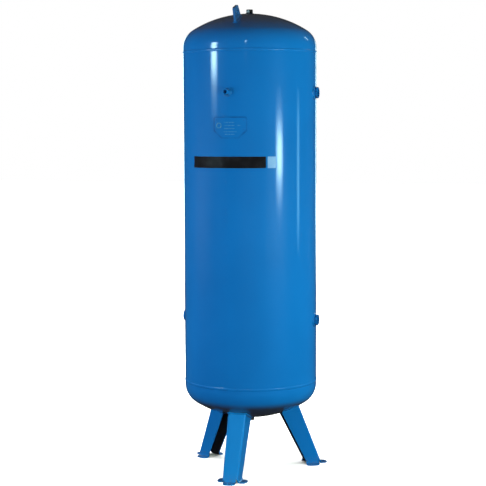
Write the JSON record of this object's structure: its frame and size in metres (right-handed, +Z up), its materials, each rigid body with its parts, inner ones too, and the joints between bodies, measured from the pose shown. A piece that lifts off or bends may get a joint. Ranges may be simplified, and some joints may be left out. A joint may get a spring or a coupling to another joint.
{
  "type": "compressed air receiver tank",
  "caption": "Tall vertical compressed air receiver: welded steel cylinder with dished heads on splayed pressed legs, with screwed side sockets, a lifting lug and a closing plug on top.",
  "frame": {"origin": "on the tank's vertical axis at floor level, the centre of the three anchor holes", "axes": "+Z up along the tank's axis; -Y is the front, with the gauge socket, the nameplate and the front leg; +X is the side with two sockets"},
  "size_m": [0.6384, 0.6642, 2.0887],
  "materials": {
    "blue_paint": "gloss enamel, sprayed after welding",
    "bare_steel": "mill finish",
    "black_iron": "black malleable iron, semi-matt",
    "sealing_rubber": "matt moulded",
    "black_vinyl": "semi-gloss film",
    "pale_vinyl": "semi-gloss film"
  },
  "bodies": {
    "tank": {"bottom_backing_ring": "bare_steel", "bottom_head": "blue_paint", "bottom_seam_weld": "blue_paint", "decal_square": "pale_vinyl", "decal_stripe": "black_vinyl", "drain_socket": "blue_paint", "drain_socket_weld": "blue_paint", "front_leg": "blue_paint", "front_leg_weld": "blue_paint", "gauge_socket": "blue_paint", "gauge_socket_weld": "blue_paint", "left_leg": "blue_paint", "left_leg_weld": "blue_paint", "left_socket": "blue_paint", "left_socket_weld": "blue_paint", "lifting_lug": "blue_paint", "lifting_lug_weld": "blue_paint", "nameplate": "blue_paint", "nameplate_bracket": "blue_paint", "nameplate_rivets": "blue_paint", "right_leg": "blue_paint", "right_leg_weld": "blue_paint", "right_lower_socket": "blue_paint", "right_lower_socket_weld": "blue_paint", "right_upper_socket": "blue_paint", "right_upper_socket_weld": "blue_paint", "shell": "blue_paint", "shell_seam_weld": "blue_paint", "top_backing_ring": "bare_steel", "top_head": "blue_paint", "top_seam_weld": "blue_paint", "top_socket": "blue_paint", "top_socket_weld": "blue_paint"},
    "plug_washer": {"top_plug_washer": "sealing_rubber"},
    "plug": {"top_plug": "black_iron"}
  },
  "joints": [
    {"name": "plug_lift", "type": "slide", "parent": "tank", "child": "plug_washer", "axis": [0, 0, 1], "range_m": [0, 0.0164]},
    {"name": "plug_turn", "type": "hinge", "parent": "plug_washer", "child": "plug", "pos_m": [0, 0, 2.06768], "axis": [0, 0, 1], "range_deg": [0, 3240]}
  ],
  "couplings": [
    {"joint": "plug_lift", "follows": "plug_turn", "m_per_rad": 0.00028871}
  ]
}
